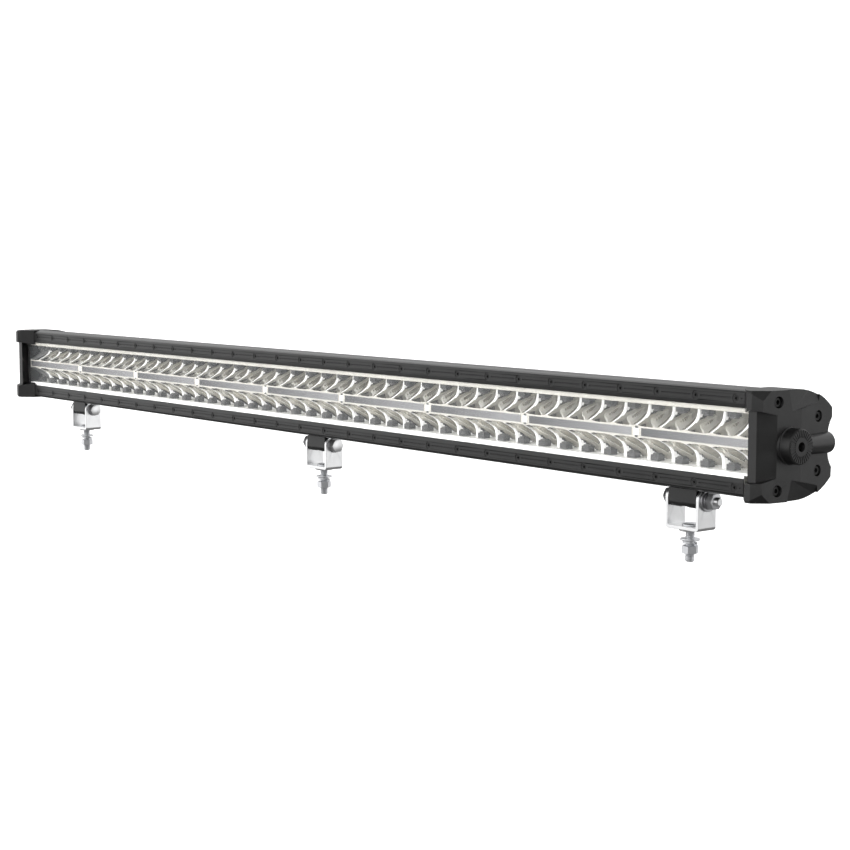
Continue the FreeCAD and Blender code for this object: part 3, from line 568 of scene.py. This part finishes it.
def strip_joints(at, materials):
    """The bright clips between the lengths of strip, each over a dark sheet of painted shadow."""
    clips, slots = bmesh.new(), bmesh.new()
    y, z = at["front"], at["mid"]
    for x in joint_xs(at):
        rounded_box(clips, (x - CLIP_X, y - CLIP_FRONT, z - CLIP_Z),
                    (x + CLIP_X, y - CLIP_BACK, z + CLIP_Z), CLIP_EDGE)
        # A thin dark sheet, taller than the clip: painted shadow above and below it.
        rounded_box(slots, (x - CLIP_SHADE_X, y - CLIP_SHADE_FRONT, z - CLIP_SHADE_Z),
                    (x + CLIP_SHADE_X, y - CLIP_SHADE_BACK, z + CLIP_SHADE_Z), CLIP_SHADE_EDGE)
    new_piece("Strip_clips", clips, "light_bar", materials["clip_bright"])
    new_piece("Strip_clip_shades", slots, "light_bar", materials["led_package"])


def led_block(bm, centre, half, heights, edge):
    """A rounded block between two heights, round a centre (x, y)."""
    low, high = sorted(heights)
    (x, y), (half_x, half_y) = centre, half
    rounded_box(bm, (x - half_x, y - half_y, low), (x + half_x, y + half_y, high), edge)


def led_rows(at, materials):
    """Each LED: a dark moulded frame against its board, with a grey top that stands out of it."""
    for name, up in (("upper", 1), ("lower", -1)):
        node = "led_packages_" + name
        lo, hi = box_mm(node)
        face = at["mid"] + up * at["board"]
        deep = hi.z - lo.z
        frame_deep = deep * LED_FRAME_DEPTH
        frame_half = (LED_FRAME_X, (hi.y - lo.y) / 2)
        frames, tops = bmesh.new(), bmesh.new()
        for k in range(MODULES * CUPS):
            spot = (at["centre"] + (k - (MODULES * CUPS - 1) / 2) * at["pitch"], (lo.y + hi.y) / 2)
            led_block(frames, spot, frame_half, (face, face - up * frame_deep), LED_FRAME_EDGE)
            led_block(tops, spot, (LED_TOP_X, LED_TOP_Y),
                      (face - up * frame_deep * LED_TOP_SUNK, face - up * deep), LED_TOP_EDGE)
        new_piece("Led_frames_" + name, frames, "light_bar", materials["led_package"], [node])
        new_piece("Led_tops_" + name, tops, "light_bar", materials["led_top"])


# ------------------------------------------------------------ fasteners
def turned(points, axis_at, along):
    """Moves (across, across, along) points of a fastener drawn about Z to its own axis."""
    x0, y0, z0 = axis_at
    if along == "z":
        return [(x0 + a, y0 + b, z0 + c) for a, b, c in points]
    return [(x0 + c, y0 + a, z0 + b) for a, b, c in points]


def ring_points(radius, height):
    """A ring about Z; radius may be a number or a function of the angle."""
    points = []
    for i in range(AROUND):
        a = 2 * math.pi * i / AROUND
        r = radius(a) if callable(radius) else radius
        h = height(r) if callable(height) else height
        points.append((r * math.cos(a), r * math.sin(a), h))
    return points


def hex_radius(a):
    step = math.pi / 3
    return HEX_FLATS / 2 / math.cos((a % step) - step / 2)


def closed_rings(bm, rings):
    """Quads between closed rings of points, and flat ends on the first and the last."""
    made = [[bm.verts.new(p) for p in ring] for ring in rings]
    for low, high in zip(made, made[1:]):
        for i in range(AROUND):
            j = (i + 1) % AROUND
            bm.faces.new((low[i], low[j], high[j], high[i]))
    bm.faces.new(made[0])
    bm.faces.new(made[-1])


def hex_block(bm, axis_at, along, low, high, chamfers):
    """A hexagon whose corners are chamfered at the ends named in chamfers."""
    flat_r = HEX_FLATS / 2 * HEX_FACE

    def bottom(r):
        return low + (HEX_CHAMFER * (r - flat_r) if "low" in chamfers else 0.0)

    def top(r):
        return high - (HEX_CHAMFER * (r - flat_r) if "high" in chamfers else 0.0)

    rings = [ring_points(flat_r, low), ring_points(hex_radius, bottom),
             ring_points(hex_radius, top), ring_points(flat_r, high)]
    closed_rings(bm, [turned(ring, axis_at, along) for ring in rings])


def thread_radius(step):
    """Rounded crest and root of the thread, by step within one pitch."""
    wave = (1 - math.cos(2 * math.pi * step / THREAD_STEPS)) / 2
    return M8_R - THREAD_DEPTH * wave


def thread(bm, axis_at, along, low, high):
    """A helical M8 thread between two heights, with chamfered ends."""
    steps = int(math.ceil((high - low) / M8_PITCH) + 2) * THREAD_STEPS
    rings = []
    for k in range(steps + 1):
        ring = []
        for i in range(AROUND):
            a = 2 * math.pi * i / AROUND
            lead = (k + THREAD_STEPS * i / AROUND) / THREAD_STEPS
            h = low + (k / THREAD_STEPS - 1) * M8_PITCH
            r = thread_radius(lead * THREAD_STEPS)
            edge = min(max(h, low), high)
            inside = min(edge - low, high - edge)
            taper = min(1.0, THREAD_END_R + (1 - THREAD_END_R) * inside / THREAD_END_L)
            r = min(r, M8_R * taper)
            ring.append((r * math.cos(a), r * math.sin(a), edge))
        if k == 0 or any(p[2] != q[2] for p, q in zip(ring, rings[-1])):
            rings.append(ring)
    closed_rings(bm, [turned(ring, axis_at, along) for ring in rings])


def stud(lo, hi, axis):
    """Mounting stud: a thread under a low round head."""
    bm = bmesh.new()
    head_r = (hi.x - lo.x) / 2
    head_low = hi.z - STUD_HEAD_T
    thread(bm, axis, "z", lo.z, head_low)
    rings = [(head_r - STUD_HEAD_EDGE, head_low), (head_r, head_low + STUD_HEAD_EDGE),
             (head_r, hi.z - STUD_DOME_H), (head_r - STUD_DOME_W, hi.z)]
    closed_rings(bm, [turned(ring_points(r, h), axis, "z") for r, h in rings])
    return bm


def bolt(axis, low, high, head_at_low):
    """Pivot bolt along X, with its hexagon head at the low or the high end."""
    bm = bmesh.new()
    if head_at_low:
        thread(bm, axis, "x", low + HEAD_H, high)
        hex_block(bm, axis, "x", low, low + HEAD_H, ("low",))
    else:
        thread(bm, axis, "x", low, high - HEAD_H)
        hex_block(bm, axis, "x", high - HEAD_H, high, ("high",))
    return bm


def nut(axis, along, low, high):
    bm = bmesh.new()
    hex_block(bm, axis, along, low, high, ("low", "high"))
    return bm


def fasteners(side, materials):
    """Stud, pivot bolt and their nuts on one bracket, with real threads and chamfers."""
    def piece(name, node, bm, look="zinc_steel"):
        new_piece(name + "_" + side, bm, "bracket_" + side, materials[look],
                  [node + "_" + side], FASTENER_SMOOTH)

    lo, hi = box_mm("mount_stud_" + side)
    nut_lo, nut_hi = box_mm("stud_nut_" + side)
    upright = ((lo.x + hi.x) / 2, (lo.y + hi.y) / 2, 0.0)
    piece("Stud", "mount_stud", stud(lo, hi, upright))
    piece("Stud_nut", "stud_nut", nut(upright, "z", nut_lo.z, nut_hi.z))
    lo, hi = box_mm("pivot_bolt_" + side)
    nut_lo, nut_hi = box_mm("pivot_nut_" + side)
    pivot = (0.0, (lo.y + hi.y) / 2, (lo.z + hi.z) / 2)
    nut_on_right = nut_lo.x > (lo.x + hi.x) / 2
    piece("Pivot_bolt", "pivot_bolt", bolt(pivot, lo.x, hi.x, nut_on_right), "bolt_bright")
    piece("Pivot_nut", "pivot_nut", nut(pivot, "x", nut_lo.x, nut_hi.x), "nut_grey")


# ------------------------------------------------------------ studio
EYE = Vector((1.590, -1.1339, 0.2415))
YAW = math.radians(51.276)
PITCH = math.radians(5.643)
ROLL = math.radians(0.122)
LENS_MM = 76.24
SENSOR_MM = 36.0
CLIP_START = 0.01

REACH = 30.0
DOME_REACH = REACH * 0.98
FLOOR_GAP = 0.002
FLOOR_GLOW = 1.0
FLOOR_DIFFUSE = 0.25
BACKDROP_GLOW = 1.1
BACKDROP_ROUND = 48
BACKDROP_RISE = 24

# Level screens round the object: azimuth, the cosines where each starts and is full, and the
# light away from it and on it.
SCREENS = (
    (-22.0, 0.80, 0.93, 1.05, 0.3),
    (16.0, 0.86, 0.985, 1.0, 1.3),
    (62.0, 0.80, 0.97, 1.0, 0.8),
    (-141.0, 0.8, 0.97, 1.0, 1.35),
)
BEHIND = (141.0, 0.82, 0.96, 0.0, 1.0)
BEHIND_BY_HEIGHT = (0.14, 0.42, 0.8, -0.7)
ABOVE_BY_HEIGHT = (0.6, 0.8, 1.0, 0.14)
BELOW_BY_HEIGHT = (-0.3, -0.11, 0.16, 1.0)
MATT_FILL = 4.2


def make_camera():
    data = bpy.data.cameras.new("Camera")
    data.sensor_width = SENSOR_MM
    data.lens = LENS_MM
    data.clip_start = CLIP_START
    camera = bpy.data.objects.new("Camera", data)
    bpy.context.scene.collection.objects.link(camera)
    ahead = Vector((-math.sin(YAW) * math.cos(PITCH), math.cos(YAW) * math.cos(PITCH), -math.sin(PITCH)))
    level = Vector((math.cos(YAW), math.sin(YAW), 0.0))
    above = level.cross(ahead)
    right = level * math.cos(ROLL) + above * math.sin(ROLL)
    up = above * math.cos(ROLL) - level * math.sin(ROLL)
    camera.matrix_world = Matrix.Translation(EYE) @ Matrix((right, up, -ahead)).transposed().to_4x4()
    bpy.context.scene.camera = camera


def plain_stage(name, mesh, glow, diffuse):
    """A pale surface that the camera sees and the object's reflections don't."""
    material = bpy.data.materials.new(name)
    material.use_nodes = True
    g = Graph(material.node_tree)
    light = g.add("ShaderNodeEmission", {"Color": (1.0, 1.0, 1.0, 1.0), "Strength": glow})
    matt = g.add("ShaderNodeBsdfDiffuse", {"Color": (diffuse, diffuse, diffuse, 1.0)})
    both = g.add("ShaderNodeAddShader", {0: light.outputs[0], 1: matt.outputs[0]})
    output = g.add("ShaderNodeOutputMaterial")
    g.tree.links.new(both.outputs[0], output.inputs[0])
    mesh.materials.append(material)
    surface = bpy.data.objects.new(name, mesh)
    bpy.context.scene.collection.objects.link(surface)
    surface.visible_diffuse = False
    surface.visible_glossy = False
    surface.visible_transmission = False
    surface.visible_shadow = False


def make_stage():
    """A pale floor just under the object and a pale dome round both."""
    low = CAD_BOX[0].z - FLOOR_GAP
    corners = [(-REACH, -REACH, low), (REACH, -REACH, low), (REACH, REACH, low), (-REACH, REACH, low)]
    floor = bpy.data.meshes.new("Floor")
    floor.from_pydata(corners, [], [(0, 1, 2, 3)])
    plain_stage("Floor", floor, FLOOR_GLOW, FLOOR_DIFFUSE)
    dome = bmesh.new()
    bmesh.ops.create_uvsphere(dome, u_segments=BACKDROP_ROUND, v_segments=BACKDROP_RISE, radius=DOME_REACH)
    sky = bpy.data.meshes.new("Backdrop")
    dome.to_mesh(sky)
    dome.free()
    plain_stage("Backdrop", sky, BACKDROP_GLOW, 0.0)


def smooth(g, value, start, end, low, high):
    """Goes smoothly from low at start to high at end."""
    return g.add("ShaderNodeMapRange", {
        "Value": value, "From Min": start, "From Max": end, "To Min": low, "To Max": high,
    }, interpolation_type="SMOOTHSTEP").outputs["Result"]


def toward(g, ray, azimuth_deg):
    """Cosine of the angle between a ray and a level direction, 0 along +X and 90 along +Y."""
    a = math.radians(azimuth_deg)
    facing = Vector((math.cos(a), math.sin(a), 0.0))
    return g.add("ShaderNodeVectorMath", {0: ray, 1: facing}, operation="DOT_PRODUCT").outputs["Value"]


def screen(g, ray, azimuth_deg, start, full, away, on):
    """Light away from and on a screen that stands towards an azimuth."""
    return smooth(g, toward(g, ray, azimuth_deg), start, full, away, on)


def make_world():
    """White surroundings with brighter and dimmer screens, dark high up and dark below."""
    world = bpy.data.worlds.new("Studio")
    world.use_nodes = True
    bpy.context.scene.world = world
    g = Graph(world.node_tree)
    ray = g.add("ShaderNodeTexCoord").outputs["Generated"]
    height = g.add("ShaderNodeSeparateXYZ", {0: ray}).outputs["Z"]
    behind = g.arithmetic("MULTIPLY", screen(g, ray, *BEHIND), smooth(g, height, *BEHIND_BY_HEIGHT))
    matt = g.add("ShaderNodeLightPath").outputs["Is Diffuse Ray"]
    factors = [screen(g, ray, *values) for values in SCREENS]
    factors.append(g.arithmetic("SUBTRACT", 1.0, behind))
    factors.append(smooth(g, height, *ABOVE_BY_HEIGHT))
    factors.append(smooth(g, height, *BELOW_BY_HEIGHT))
    factors.append(g.ramp(matt, 1.0, MATT_FILL))
    strength = factors[0]
    for factor in factors[1:]:
        strength = g.arithmetic("MULTIPLY", strength, factor)
    background = g.add("ShaderNodeBackground", {"Color": (1.0, 1.0, 1.0, 1.0), "Strength": strength})
    output = g.add("ShaderNodeOutputWorld")
    g.tree.links.new(background.outputs[0], output.inputs[0])


def main():
    at = reflector_layout()
    materials = make_materials(at)
    dress_cad_nodes(materials)
    for index in range(1, MODULES + 1):
        reflector_module(index, at, materials)
    strip_joints(at, materials)
    led_rows(at, materials)
    for side in SIDES:
        fasteners(side, materials)
    make_stage()
    make_world()
    make_camera()
    bpy.context.scene.view_settings.view_transform = "Standard"


main()
